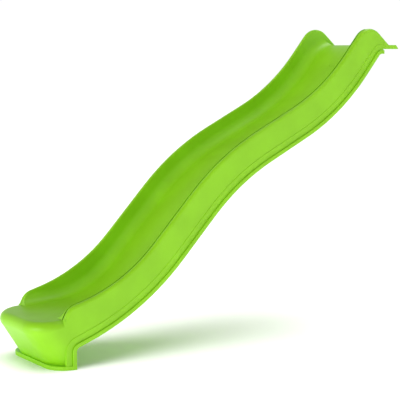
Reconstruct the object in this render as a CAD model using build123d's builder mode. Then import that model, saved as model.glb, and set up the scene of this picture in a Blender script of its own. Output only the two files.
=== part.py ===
"""Wavy straight slide for a 1.5 m play platform: a hollow twin-skin plastic moulding and its fittings.

Frame: +X towards the platform, -X down the slide, +Y across it, +Z up.
Origin: middle of the line of fixing holes, on the underside of the top lip (the level of the deck).
"""

import os
from math import cos, radians, sin, tan

from build123d import *

os.makedirs("parts", exist_ok=True)

# ---------------------------------------------------------------- driving dimensions, mm
platform_height = 1500.0
run = 2150.0                 # deck edge to the tip of the nose
body_width = 480.0           # over the outer faces of the side walls
rim_width = 32.0             # side wall, outer face to inner face
side_height = 100.0          # rim above the bed, square to it
skirt_depth = 73.0           # lower edge below the bed, square to it
bed_corner = 55.0            # radius between the bed and the side walls
rim_flat = 1.0               # flat left along the top of a rim between its two roundings
skin = 3.5                   # moulded wall thickness
fit = 0.4                    # gap between the two skins where one sits inside the other

# waves: where the straight flights of the bed meet, as shares of the run and of the fall
hollow_share = (0.1614, 0.2413)
crest_share = (0.4773, 0.4962)
landing_share = (0.7592, 0.9857)
brow_radius = 260.0
hollow_radius = 1200.0
crest_radius = 1300.0
landing_radius = 500.0

# top lip, deck edge and ears
lip_reach = 114.0            # from the deck edge to the tip of the lip
lip_thickness = 22.0
lip_bevel = 20.0             # how far the end face of the lip leans back
lip_nose_radius = 6.0        # upper edge of the end face
lip_corner = 6.0             # plan radius of the two corners of the lip
abutment_depth = 26.0        # face that bears on the edge of the deck
nib_reach = 5.0              # turned-out lower edge of that face
nib_height = 5.0
brow_setback = 84.0          # deck edge to the top of the first flight
throat_radius = 30.0
ear_foot = 50.0              # where the back of an ear meets the lip, from the deck edge
ear_back_slope = 40.0
ear_radius = 105.0
cove_setback = 55.0          # from the back of an ear to the end of the round corner inside it

# fixing holes in the lip
hole_setback = 55.0          # from the deck edge
hole_spacing = 320.0
hole_radius = 4.5
bush_wall = 2.5
bush_gap = 0.05              # radial gap between a bush and the moulding

# exit and foot
exit_height = 240.0          # bed above the ground at the landing
exit_slope = 3.0
shoulder_setback = 181.0     # shoulder corner behind the tip of the nose
shoulder_height = 54.0       # shoulder corner above the bed
shoulder_slope = 15.0
shoulder_drop_slope = 65.0
shoulder_radius = 80.0
rim_landing_radius = 875.0
front_lean = 32.4            # front face from upright
nose_radius = 36.0
nose_corner = 140.0          # plan radius of the front corners
foot_depth = 92.0            # base, front to back
foot_back_height = 100.0
foot_back_radius = 22.0
heel_slope = 18.5
heel_radius = 1370.0

# perimeter lip and raised band along the lower edge
edge_lip_height = 20.0
edge_lip_reach = 11.0        # proud of the side walls
base_lip_reach = 9.0         # proud of the front face
base_lip_corner = 105.0      # plan radius of its front corners
band_height = 52.0           # top of the band above the lower edge
band_reach = 2.5             # proud of the side walls
lip_rounding = 3.0           # outer edges of the perimeter lip
band_rounding = 2.0          # outer edges of the band

# ribs pressed up into the under skin until they back the bed
rib_count = 9
rib_start = 330.0            # along the bed from the deck edge
rib_pitch = 170.0
rib_length = 260.0
rib_width = 36.0
rib_taper = 8.0

# water spigot near the top of the bed, in a round pocket of the under skin
spigot_start = 215.0         # along the bed from the deck edge
spigot_radius = 7.5
spigot_bore = 3.0
spigot_head_reach = 4.5      # head beyond the spigot
spigot_head = 2.0
spigot_gap = 0.15            # radial gap between the spigot and what it passes through
spigot_tail = 26.0           # hose tail below the nut
barb_reach = 1.1             # barb beyond the spigot
barb_length = 6.0
pocket_radius = 36.0
washer_reach = 5.5           # washer beyond the spigot
washer_thickness = 2.0
nut_wall = 4.35              # thinnest wall of the nut
nut_height = 8.0
cap_wall = 2.0
cap_gap = 0.2
cap_length = 18.0

# plug in the blowing hole at the back of the foot
plug_radius = 6.0
plug_gap = 0.1
plug_head_reach = 4.0        # head beyond the plug
plug_head = 2.5
plug_head_round = 1.0
plug_length = 9.0
plug_height = 62.0           # above the ground

# ---------------------------------------------------------------- shared levels and places
ground = -platform_height
deck_edge = -hole_setback
half_width = body_width / 2
half_inner = half_width - rim_width
nose_tip = deck_edge - run
exit_level = ground + exit_height
fall = lip_thickness - exit_level
open_reach = 12.0            # how far the hollow breaks out through the lower edge
clear_above = 400.0          # how far the space over the slide reaches above what it clears
overlap = 1.0                # how far neighbouring blocks run into each other
pass_through = 3.0           # how far a cutter runs past what it cuts
strip_root = 14.0            # how far a strip starts inside the side wall, to meet the rounded foot


# ---------------------------------------------------------------- side-view routes
# A route is a list of corners (x, z, blend radius). It runs from the foot up to the lip.
def meet(a, b, c, d):
    """Where the line through a and b crosses the line through c and d."""
    ab = (b[0] - a[0], b[1] - a[1])
    cd = (d[0] - c[0], d[1] - c[1])
    turn = ab[0] * cd[1] - ab[1] * cd[0]
    share = ((c[0] - a[0]) * cd[1] - (c[1] - a[1]) * cd[0]) / turn
    return (a[0] + share * ab[0], a[1] + share * ab[1])


def onward(point, slope, reach=1000.0):
    """A second point on the line through point that rises by slope degrees towards the platform."""
    return (point[0] + reach, point[1] + reach * tan(radians(slope)))


def parallel(route, shift):
    """The same route moved square to itself, to its left where shift is positive."""
    moved = []
    legs = [(Vector(*b[:2]) - Vector(*a[:2])).normalized() for a, b in zip(route, route[1:])]
    for (x, z, radius), arriving, leaving in zip(route, legs[:1] + legs, legs + legs[-1:]):
        left_in = Vector(-arriving.Y, arriving.X)
        left_out = Vector(-leaving.Y, leaving.X)
        place = Vector(x, z) + (left_in + left_out) * (shift / (1 + left_in.dot(left_out)))
        turns_left = arriving.X * leaving.Y > arriving.Y * leaving.X
        if radius > 0:
            radius += -shift if turns_left else shift
        moved.append((place.X, place.Y, radius))
    return moved


def level_on(route, x):
    """Height of the unblended route at x."""
    for a, b in zip(route, route[1:]):
        if x <= b[0]:
            return a[1] + (b[1] - a[1]) * (x - a[0]) / (b[0] - a[0])
    return route[-1][1]


def at_share(share, radius):
    """A corner of the waves from its shares of the run and of the fall."""
    return (deck_edge - run * share[0], lip_thickness - fall * share[1], radius)


# the bed, past the nose at one end and past the lip at the other
landing = at_share(landing_share, landing_radius)
crest = at_share(crest_share, crest_radius)
hollow = at_share(hollow_share, hollow_radius)
brow = (deck_edge - brow_setback, lip_thickness, brow_radius)
exit_end = onward(landing, exit_slope, nose_tip - nose_corner - landing[0])
bed_end = (deck_edge + lip_reach + lip_corner, lip_thickness)
bed = [(*exit_end, 0), landing, crest, hollow, brow, (*bed_end, 0)]

# the rim of the side walls, from the shoulder to the back of the ear
raised = parallel(bed, side_height)
shoulder_x = nose_tip + shoulder_setback
shoulder = (shoulder_x, level_on(bed, shoulder_x) + shoulder_height)
rim_landing = meet(shoulder, onward(shoulder, shoulder_slope), raised[1], raised[2])
ear_back = (deck_edge + ear_foot, lip_thickness)
ear = meet(raised[3], raised[4], ear_back, onward(ear_back, -ear_back_slope))
shoulder_foot = meet(shoulder, onward(shoulder, shoulder_drop_slope), bed[0], bed[1])
rim = [
    (*shoulder_foot, 0),
    (*shoulder, shoulder_radius),
    (*rim_landing, rim_landing_radius),
    raised[2],
    raised[3],
    (*ear, ear_radius),
    (*ear_back, 0),
]

# the foot, whose front leans back from the nose to the base
nose_overhang = nose_radius * (tan(radians(90 + front_lean - exit_slope) / 2) - 1)
nose_edge = nose_tip - nose_overhang
base_front = nose_edge + (level_on(bed, nose_edge) - ground) * tan(radians(front_lean))
foot_back = base_front + foot_depth

# the lower edge, from under the foot up to the deck edge
lowered = parallel(bed, -skirt_depth)
foot_top = (foot_back, ground + foot_back_height)
heel = meet(foot_top, onward(foot_top, heel_slope), lowered[1], lowered[2])
deck_corner = (deck_edge, -abutment_depth)
throat = meet(deck_corner, onward(deck_corner, 0), lowered[3], lowered[4])
lower_edge = [
    (base_front, ground, 0),
    (foot_back, ground, 0),
    (*foot_top, foot_back_radius),
    (*heel, heel_radius),
    lowered[2],
    lowered[3],
    (*throat, throat_radius),
    (*deck_corner, 0),
]


# ---------------------------------------------------------------- the moulded form
def slab(loop, near, far):
    """A closed side-view loop, extruded across the slide from y = near to y = far."""
    corners = [corner[:2] for corner in loop]
    radii = [corner[2] for corner in loop]
    with BuildPart() as block:
        with BuildSketch(Plane.XZ.offset(-far)):
            with BuildLine():
                FilletPolyline(*corners, radius=radii, close=True)
            make_face()
        extrude(amount=far - near)
    return block.part


def base(inset, below):
    """What lies under the bed, from the lip to the shoulders, down to below inside the lower edge."""
    front = shoulder_foot[0] + inset
    bed_here = parallel(bed, -inset)
    lower = parallel(lower_edge, below)
    lip_tip = deck_edge + lip_reach - inset
    abutment = deck_edge - inset
    lean = tan(radians(front_lean))
    corner_end = base_front + inset / cos(radians(front_lean)) + nose_corner - inset
    loop = [(front, ground + (corner_end - front) / lean, 0)]
    loop += [(lower[1][0], ground + (corner_end - lower[1][0]) / lean, 0)]
    loop += [*lower[2:-1], (abutment, lower[-1][1], 0)]
    loop += [(abutment, inset, 0), (lip_tip, inset, 0)]
    loop += [(lip_tip - lip_bevel, lip_thickness - inset, lip_nose_radius - inset)]
    loop += bed_here[4:0:-1] + [(front, level_on(bed_here, front), 0)]
    with BuildPart() as block:
        add(slab(loop, inset - half_width, half_width - inset))
        with BuildSketch(Plane.XY.offset(lower[0][1])):
            with Locations(((front + lip_tip) / 2, 0)):
                Rectangle(lip_tip - front, body_width - 2 * inset)
            fillet(vertices().group_by(Axis.X)[-1], radius=lip_corner - inset)
        extrude(amount=lip_thickness - lower[0][1], mode=Mode.INTERSECT)
    return block.part


def wall_loop(inset):
    """Side view of a wall: its rim, and a lower side that is buried in the base."""
    rim_here = parallel(rim, -inset)
    buried = parallel(bed, -skirt_depth / 2)
    mid_lip = (deck_edge, lip_thickness / 2)
    start = meet(rim_here[0], rim_here[1], buried[0], buried[1])
    end = meet(rim_here[-2], rim_here[-1], mid_lip, onward(mid_lip, 0))
    return [(*start, 0), *rim_here[1:-1], (*end, 0), (*mid_lip, 0), *buried[4:0:-1]]


def wall(inset, side):
    """One side wall with its rounded rim."""
    thickness = rim_width - 2 * inset
    centre = side * (half_width - rim_width / 2)
    with BuildPart() as side_wall:
        add(slab(wall_loop(inset), centre - thickness / 2, centre + thickness / 2))
        outline = side_wall.faces().filter_by(Axis.Y).edges()
        rim_edges = outline.filter_by(lambda e: e.center().Z > level_on(bed, e.center().X) + rim_flat)
        fillet(rim_edges, radius=(thickness - rim_flat) / 2)
    return side_wall.part


def channel(inset):
    """The space of the sliding channel, with its round lower corners."""
    above = clear_above + ear[1]
    loop = parallel(bed, -inset) + [(bed_end[0], above, 0), (exit_end[0], above, 0)]
    with BuildPart() as space:
        add(slab(loop, -half_inner - inset, half_inner + inset))
        sides = space.faces().filter_by(Axis.Y).edges()
        lowest = sides.filter_by(lambda e: abs(e.center().Z - level_on(bed, e.center().X)) < bed_corner)
        fillet(lowest, radius=bed_corner + inset)
    return space.part


def coves(inset):
    """The rounded corners between the bed and the side walls. They end ahead of the backs of the ears."""
    reach = half_inner + inset + overlap
    end = (ear_back[0] - cove_setback - inset / sin(radians(ear_back_slope)), lip_thickness)
    above = onward(end, -ear_back_slope, -clear_above)
    under = onward(end, -ear_back_slope, lip_reach)
    behind = [(*above, 0), (bed_end[0], above[1], 0), (bed_end[0], under[1], 0), (*under, 0)]
    with BuildPart() as fill:
        add(slab(wall_loop(inset), -reach, reach))
        add(channel(inset), mode=Mode.SUBTRACT)
        add(slab(behind, -reach, reach), mode=Mode.SUBTRACT)
    return fill.part


def foot(inset, below):
    """The foot under the exit: a leaning block with round front corners and a round nose."""
    bottom = ground + below
    lean = tan(radians(front_lean))
    front = base_front + inset / cos(radians(front_lean)) - below * lean
    back = foot_back + body_width
    bed_plane = Plane(
        origin=(nose_edge, 0, level_on(bed, nose_edge) - inset),
        x_dir=(0, 1, 0),
        z_dir=(-sin(radians(exit_slope)), 0, cos(radians(exit_slope))),
    )
    with BuildPart() as block:
        with BuildSketch(Plane.XY.offset(bottom)):
            with Locations(((front + back) / 2, 0)):
                Rectangle(back - front, body_width - 2 * inset)
            fillet(vertices().group_by(Axis.X)[0], radius=nose_corner - inset)
        extrude(amount=clear_above / cos(radians(front_lean)), dir=(-lean, 0, 1))
        split(bisect_by=bed_plane, keep=Keep.BOTTOM)
        top_edges = block.faces().sort_by(Axis.Z)[-1].edges()
        fillet(top_edges.sort_by(Axis.X)[:-1], radius=nose_radius - inset)
        with BuildSketch(Plane.YZ.offset(foot_back - below)):
            Rectangle(2 * body_width, 2 * (platform_height + clear_above))
        extrude(amount=2 * body_width, mode=Mode.SUBTRACT)
    return block.part


def moulding(inset, below):
    """The outer form where inset is 0, or the form of the hollow where it is the skin."""
    with BuildPart() as form:
        add(base(inset, below))
        add(wall(inset, 1))
        add(wall(inset, -1))
        add(coves(inset))
        add(foot(inset, below))
    return form.part


def lower_strip(route, low, high, near, far):
    """A strip along the lower edge, between two distances above it, from y = near to y = far."""
    return slab(parallel(route, low) + parallel(route, high)[::-1], near, far)


def rounded_strip(low, high, reach, rounding):
    """A strip on one side wall, proud of it by reach, with its outer edges rounded."""
    root = half_width - strip_root
    with BuildPart() as strip:
        add(lower_strip(lower_edge[1:], low, high, root, half_width + reach))
        fillet(strip.faces().sort_by(Axis.Y)[-1].edges(), radius=rounding)
    return strip.part


# ---------------------------------------------------------------- upper skin
outside = moulding(0, 0)
hollow_form = moulding(skin, -open_reach)
side_lip = rounded_strip(0, edge_lip_height, edge_lip_reach, lip_rounding)
side_band = rounded_strip(edge_lip_height, band_height, band_reach, band_rounding)
nib_loop = [
    (deck_edge - skin, -abutment_depth, 0),
    (deck_edge + nib_reach, -abutment_depth, 0),
    (deck_edge + nib_reach, nib_height / 2 - abutment_depth, 0),
    (deck_edge, nib_height + nib_reach - abutment_depth, 0),
    (deck_edge - skin, nib_height + nib_reach - abutment_depth, 0),
]
base_lip_front = base_front - edge_lip_height * tan(radians(front_lean)) - base_lip_reach

# the bed as a line from the lip down, for what is placed by its distance along the bed
downhill = bed[::-1]
with BuildLine(Plane.XZ) as bed_line:
    FilletPolyline(*[corner[:2] for corner in downhill], radius=[corner[2] for corner in downhill[1:-1]])
from_lip_end = bed_end[0] - deck_edge


def bed_plane_at(distance):
    """A plane square to the bed, distance along it from the deck edge, z up out of the bed."""
    place = bed_line.wire().position_at(from_lip_end + distance, position_mode=PositionMode.LENGTH)
    along = bed_line.wire().tangent_at(from_lip_end + distance, position_mode=PositionMode.LENGTH)
    return Plane(origin=place, x_dir=(0, 1, 0), z_dir=Vector(0, 1, 0).cross(along))


spigot_plane = bed_plane_at(spigot_start)
bush_radius = hole_radius + bush_wall
spigot_hole = spigot_radius + spigot_gap
spigot_head_radius = spigot_radius + spigot_head_reach
spigot_cut = 2 * (2 * skin + fit + pass_through)        # centred on the bed, through both skins

with BuildPart() as base_lip:
    with BuildSketch(Plane.XY.offset(ground)):
        with Locations(((base_lip_front + foot_back) / 2, 0)):
            Rectangle(foot_back - base_lip_front, body_width + 2 * edge_lip_reach)
        fillet(vertices().group_by(Axis.X)[0], radius=base_lip_corner)
    extrude(amount=edge_lip_height)
    fillet(base_lip.faces().sort_by(Axis.Z)[-1].edges().sort_by(Axis.X)[:-1], radius=lip_rounding)

with BuildPart() as upper_skin:
    add(outside)
    add(base_lip.part)
    for strip in (side_lip, side_band):
        add(strip)
        add(mirror(strip, Plane.XZ))
    add(slab(nib_loop, -half_width, half_width))
    add(hollow_form, mode=Mode.SUBTRACT)
    with GridLocations(0, hole_spacing, 1, 2):
        Cylinder(bush_radius + bush_gap, 2 * (lip_thickness + pass_through), mode=Mode.SUBTRACT)
    with Locations(spigot_plane):
        Cylinder(spigot_hole, spigot_cut, mode=Mode.SUBTRACT)
        Cylinder(spigot_head_radius + spigot_gap, 2 * spigot_head, mode=Mode.SUBTRACT)
upper_skin.part.label = "upper_skin"
export_step(upper_skin.part, "parts/upper_skin.step")


# ---------------------------------------------------------------- under skin
under_form = moulding(skin + fit, 0)
under_top = edge_lip_height + skin
under_strip = lower_strip(lower_edge, edge_lip_height, under_top, -half_width, half_width)
pocket_floor = skirt_depth - edge_lip_height            # from the bed down to the under skin's lower face
pocket_height = pocket_floor - skin - fit
pocket_mouth = -1.0                                     # start of a hollow, just below that face
rib_planes = [bed_plane_at(rib_start + i * rib_pitch).offset(-pocket_floor) for i in range(rib_count)]
spigot_pocket = spigot_plane.offset(-pocket_floor)
plug_place = (foot_back - edge_lip_height, 0, ground + plug_height)
plug_plane = Plane(origin=plug_place, x_dir=(0, 1, 0), z_dir=(1, 0, 0))

with BuildPart() as under_skin:
    add(under_strip)
    add(under_form, mode=Mode.INTERSECT)
    with BuildSketch(*rib_planes):
        SlotOverall(rib_length, rib_width)
    with BuildSketch(spigot_pocket):
        Circle(pocket_radius)
    extrude(amount=pocket_height, taper=rib_taper)
    with BuildSketch(*[plane.offset(pocket_mouth) for plane in rib_planes]):
        SlotOverall(rib_length - 2 * skin, rib_width - 2 * skin)
    with BuildSketch(spigot_pocket.offset(pocket_mouth)):
        Circle(pocket_radius - skin)
    extrude(amount=pocket_height - skin - pocket_mouth, taper=rib_taper, mode=Mode.SUBTRACT)
    with Locations(spigot_plane):
        Cylinder(spigot_hole, spigot_cut, mode=Mode.SUBTRACT)
    with Locations(plug_plane):
        Cylinder(plug_radius + plug_gap, 2 * (skin + pass_through), mode=Mode.SUBTRACT)
under_skin.part.label = "under_skin"
export_step(under_skin.part, "parts/under_skin.step")


# ---------------------------------------------------------------- lip bushes
standing = (Align.CENTER, Align.CENTER, Align.MIN)

with BuildPart() as lip_bushes:
    with GridLocations(0, hole_spacing, 1, 2):
        Cylinder(bush_radius, lip_thickness, align=standing)
        Cylinder(hole_radius, lip_thickness, align=standing, mode=Mode.SUBTRACT)
lip_bushes.part.label = "lip_bushes"
export_step(lip_bushes.part, "parts/lip_bushes.step")


# ---------------------------------------------------------------- water spigot and its fittings
# Heights along the spigot are measured down from the face of the bed.
roof_below = -2 * skin - fit                            # lower face of the pocket's roof
nut_top = roof_below - washer_thickness
nut_bottom = nut_top - nut_height
tail_end = nut_bottom - spigot_tail
barb_radius = spigot_radius + barb_reach

with BuildPart() as water_spigot:
    with BuildSketch(Plane(spigot_plane.origin, x_dir=spigot_plane.x_dir, z_dir=-spigot_plane.y_dir)):
        with BuildLine():
            Polyline(
                (spigot_bore, 0),
                (spigot_head_radius, 0),
                (spigot_head_radius, -spigot_head),
                (spigot_radius, -spigot_head),
                (spigot_radius, tail_end + barb_length),
                (barb_radius, tail_end + barb_length),
                (spigot_radius, tail_end),
                (spigot_bore, tail_end),
                close=True,
            )
        make_face()
    revolve(axis=Axis(spigot_plane.origin, spigot_plane.z_dir))
water_spigot.part.label = "water_spigot"
export_step(water_spigot.part, "parts/water_spigot.step")

with BuildPart() as spigot_washer:
    with BuildSketch(spigot_plane.offset(nut_top)):
        Circle(spigot_radius + washer_reach)
        Circle(spigot_hole, mode=Mode.SUBTRACT)
    extrude(amount=washer_thickness)
spigot_washer.part.label = "spigot_washer"
export_step(spigot_washer.part, "parts/spigot_washer.step")

with BuildPart() as spigot_nut:
    with BuildSketch(spigot_plane.offset(nut_bottom)):
        RegularPolygon(spigot_hole + nut_wall, 6, major_radius=False)
        Circle(spigot_hole, mode=Mode.SUBTRACT)
    extrude(amount=nut_height)
spigot_nut.part.label = "spigot_nut"
export_step(spigot_nut.part, "parts/spigot_nut.step")

with BuildPart() as spigot_cap:
    with BuildSketch(spigot_plane.offset(tail_end - cap_gap)):
        Circle(barb_radius + cap_gap + cap_wall)
    extrude(amount=-cap_wall)
    with BuildSketch(spigot_plane.offset(tail_end - cap_gap)):
        Circle(barb_radius + cap_gap + cap_wall)
        Circle(barb_radius + cap_gap, mode=Mode.SUBTRACT)
    extrude(amount=cap_length)
spigot_cap.part.label = "spigot_cap"
export_step(spigot_cap.part, "parts/spigot_cap.step")


# ---------------------------------------------------------------- plug in the foot
with BuildPart() as foot_plug:
    with BuildSketch(plug_plane):
        Circle(plug_radius + plug_head_reach)
    extrude(amount=plug_head)
    with BuildSketch(plug_plane):
        Circle(plug_radius)
    extrude(amount=-plug_length)
    fillet(foot_plug.edges().filter_by(GeomType.CIRCLE).sort_by(Axis.X)[-1], radius=plug_head_round)
foot_plug.part.label = "foot_plug"
export_step(foot_plug.part, "parts/foot_plug.step")
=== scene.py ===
"""Looks of a wavy play slide: one blow-moulded polyethylene body with its fittings."""

import math

import bpy
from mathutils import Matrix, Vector


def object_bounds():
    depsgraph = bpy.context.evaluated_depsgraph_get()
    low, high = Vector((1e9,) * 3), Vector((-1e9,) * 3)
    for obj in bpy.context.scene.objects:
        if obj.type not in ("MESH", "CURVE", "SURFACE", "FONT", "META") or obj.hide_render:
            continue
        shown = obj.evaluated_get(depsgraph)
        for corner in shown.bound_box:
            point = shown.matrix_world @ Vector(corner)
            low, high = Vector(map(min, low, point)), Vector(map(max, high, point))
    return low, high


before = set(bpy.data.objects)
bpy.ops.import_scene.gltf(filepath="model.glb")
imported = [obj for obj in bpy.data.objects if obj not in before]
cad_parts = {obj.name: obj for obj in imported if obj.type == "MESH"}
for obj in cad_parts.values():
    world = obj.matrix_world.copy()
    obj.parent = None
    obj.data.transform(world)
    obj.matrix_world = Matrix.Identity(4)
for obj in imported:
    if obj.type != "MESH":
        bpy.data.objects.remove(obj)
cad_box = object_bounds()
MM = 0.001


# ---------------------------------------------------------------- materials
def linear(hex_colour):
    """An sRGB hex colour as a linear RGBA value."""
    channels = [int(hex_colour[i:i + 2], 16) / 255 for i in (1, 3, 5)]
    return [c / 12.92 if c <= 0.04045 else ((c + 0.055) / 1.055) ** 2.4 for c in channels] + [1.0]


def add_node(tree, kind, links=(), **settings):
    """Adds a node. Settings are its properties or inputs, links are (input, output socket) pairs."""
    node = tree.nodes.new(kind)
    for name, value in settings.items():
        if hasattr(node, name):
            setattr(node, name, value)
        else:
            node.inputs[name.replace("_", " ")].default_value = value
    for name, socket in links:
        tree.links.new(socket, node.inputs[name])
    return node


def per_metre(period_mm):
    """The noise scale whose features are this many millimetres apart."""
    return 1 / (period_mm * MM)


def start_material(name, **settings):
    """A material with its principled shader and object coordinates."""
    material = bpy.data.materials.new(name)
    material.use_nodes = True
    tree = material.node_tree
    tree.nodes.clear()
    shader = add_node(tree, "ShaderNodeBsdfPrincipled", **settings)
    add_node(tree, "ShaderNodeOutputMaterial", [("Surface", shader.outputs["BSDF"])])
    place = add_node(tree, "ShaderNodeTexCoord").outputs["Object"]
    return material, tree, shader, place


def mottle(tree, shader, place, dark, light, period_mm):
    """Soft drifts between two nearby colours."""
    drift = add_node(tree, "ShaderNodeTexNoise", [("Vector", place)], Scale=per_metre(period_mm), Detail=3.0)
    ramp = add_node(tree, "ShaderNodeValToRGB", [("Fac", drift.outputs["Fac"])])
    ramp.color_ramp.elements[0].position = 0.35
    ramp.color_ramp.elements[0].color = linear(dark)
    ramp.color_ramp.elements[1].position = 0.65
    ramp.color_ramp.elements[1].color = linear(light)
    tree.links.new(ramp.outputs["Color"], shader.inputs["Base Color"])


def roughness_between(tree, shader, place, low, high, period_mm):
    """Sheen that varies a little from place to place."""
    patch = add_node(tree, "ShaderNodeTexNoise", [("Vector", place)], Scale=per_metre(period_mm), Detail=2.0)
    spread = add_node(
        tree, "ShaderNodeMapRange", [("Value", patch.outputs["Fac"])], To_Min=low, To_Max=high
    )
    tree.links.new(spread.outputs["Result"], shader.inputs["Roughness"])


def relief(tree, shader, place, layers):
    """Stacked bumps. Each layer is (period in mm, height in mm)."""
    normal = None
    for period_mm, height_mm in layers:
        grain = add_node(
            tree, "ShaderNodeTexNoise", [("Vector", place)], Scale=per_metre(period_mm), Detail=2.0
        )
        links = [("Height", grain.outputs["Fac"])] + ([("Normal", normal)] if normal else [])
        bump = add_node(tree, "ShaderNodeBump", links, Strength=1.0, Distance=height_mm * MM)
        normal = bump.outputs["Normal"]
    tree.links.new(normal, shader.inputs["Normal"])


def moulded_polyethylene():
    """Blow-moulded lime HDPE: a waxy satin skin, slightly uneven where it cooled, with a fine mould grain."""
    material, tree, shader, place = start_material("blow_moulded_hdpe", IOR=1.54, Specular_IOR_Level=0.3)
    mottle(tree, shader, place, "#8CCD16", "#92D51A", 160)
    roughness_between(tree, shader, place, 0.36, 0.46, 90)
    # the mould's grain is about 0.6 mm in life and is drawn at 2.5 mm so that it shows
    relief(tree, shader, place, [(120, 0.35), (2.5, 0.03)])
    return material


def moulded_black(name, low, high):
    """Injection-moulded black nylon or polyethylene: near black, with a soft sheen."""
    material, tree, shader, place = start_material(name, IOR=1.53)
    mottle(tree, shader, place, "#17181A", "#1D1E20", 20)
    roughness_between(tree, shader, place, low, high, 8)
    relief(tree, shader, place, [(0.8, 0.01)])
    return material


def washer_rubber():
    """Moulded black rubber: dull, with no clear highlight."""
    material, tree, shader, place = start_material("moulded_rubber", IOR=1.52)
    mottle(tree, shader, place, "#121212", "#1A1A1A", 6)
    roughness_between(tree, shader, place, 0.78, 0.9, 5)
    relief(tree, shader, place, [(0.6, 0.02)])
    return material


def dress(node, material):
    """Gives a carried-over node its material."""
    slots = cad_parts[node].material_slots
    for slot in slots:
        slot.material = material
    if not slots:
        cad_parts[node].data.materials.append(material)


green = moulded_polyethylene()
nylon = moulded_black("moulded_nylon", 0.32, 0.42)
black_pe = moulded_black("moulded_black_polyethylene", 0.4, 0.5)
rubber = washer_rubber()
for name, material in {
    "upper_skin": green,
    "under_skin": green,
    "water_spigot": green,
    "spigot_nut": green,
    "lip_bushes": nylon,
    "spigot_cap": black_pe,
    "foot_plug": black_pe,
    "spigot_washer": rubber,
}.items():
    dress(name, material)


# ---------------------------------------------------------------- floor, light and camera
FLOOR_SIZE = 60.0
FLOOR_LIGHT = 2.6
FLOOR_LIGHT_SPREAD = math.radians(60)
SKY_STRENGTH = 1.02
SKY_WHITE_UP_TO = 0.1        # height in the sky, from 0 at the horizon to 1 overhead
SKY_DIM_FROM = 0.6
# each soft box: its place from the middle of the slide and its width in metres, its power in watts
SOFT_BOXES = {
    "front_soft_box": ((-5.6, -1.0, -0.4), 2.4, 130),
    "high_back_soft_box": ((2.4, -0.2, 3.8), 1.6, 60),
}
CAMERA_PLACE = Vector((-4.7407, -5.1901, 0.0024))
CAMERA_AZIMUTH = math.radians(34.96)
CAMERA_PITCH = math.radians(7.06)
CAMERA_LENS_MM = 110.02
CAMERA_SENSOR_MM = 36.0
low, high = cad_box
centre = (low + high) / 2


def aimed(data, name, place, target):
    """An object at a place, turned to face a target."""
    thing = bpy.data.objects.new(name, data)
    bpy.context.scene.collection.objects.link(thing)
    thing.location = place
    thing.rotation_euler = (Vector(target) - Vector(place)).to_track_quat("-Z", "Y").to_euler()
    return thing


def soft_light(name, place, width, power):
    """A large soft box aimed at the middle of the slide."""
    data = bpy.data.lights.new(name, "AREA")
    data.shape = "SQUARE"
    data.size = width
    data.energy = power
    return aimed(data, name, place, centre)


def floor():
    """A plain pale floor, level with the base of the foot, with a light that reaches nothing else."""
    bpy.ops.mesh.primitive_plane_add(size=FLOOR_SIZE, location=(centre.x, centre.y, low.z))
    plane = bpy.context.object
    plane.name = "studio_floor"
    material, tree, shader, place = start_material("pale_floor", Roughness=0.9)
    mottle(tree, shader, place, "#F6F6F5", "#F9F9F8", 400)
    plane.data.materials.append(material)
    lit = bpy.data.collections.new("lit_by_floor_light")
    lit.objects.link(plane)
    sun = bpy.data.lights.new("floor_light", "SUN")
    sun.angle = FLOOR_LIGHT_SPREAD
    sun.energy = FLOOR_LIGHT
    aimed(sun, "floor_light", (0, 0, high.z + 3), (0, 0, 0)).light_linking.receiver_collection = lit


def sky():
    """Pale surroundings, white at the horizon and below and dimmer overhead."""
    world = bpy.data.worlds.new("studio")
    world.use_nodes = True
    tree = world.node_tree
    background = tree.nodes["Background"]
    background.inputs["Strength"].default_value = SKY_STRENGTH
    direction = add_node(tree, "ShaderNodeTexCoord").outputs["Generated"]
    height = add_node(tree, "ShaderNodeSeparateXYZ", [("Vector", direction)]).outputs["Z"]
    ramp = add_node(tree, "ShaderNodeValToRGB", [("Fac", height)])
    ramp.color_ramp.elements[0].position = SKY_WHITE_UP_TO
    ramp.color_ramp.elements[0].color = linear("#FFFFFF")
    ramp.color_ramp.elements[1].position = SKY_DIM_FROM
    ramp.color_ramp.elements[1].color = linear("#A8A8A8")
    tree.links.new(ramp.outputs["Color"], background.inputs["Color"])
    bpy.context.scene.world = world


floor()
sky()
for name, (offset, width, power) in SOFT_BOXES.items():
    soft_light(name, centre + Vector(offset), width, power)

lens = bpy.data.cameras.new("camera")
lens.lens = CAMERA_LENS_MM
lens.sensor_width = CAMERA_SENSOR_MM
ahead = Vector((
    math.sin(CAMERA_AZIMUTH) * math.cos(CAMERA_PITCH),
    math.cos(CAMERA_AZIMUTH) * math.cos(CAMERA_PITCH),
    -math.sin(CAMERA_PITCH),
))
bpy.context.scene.camera = aimed(lens, "camera", CAMERA_PLACE, CAMERA_PLACE + ahead)
bpy.context.scene.view_settings.view_transform = "Standard"
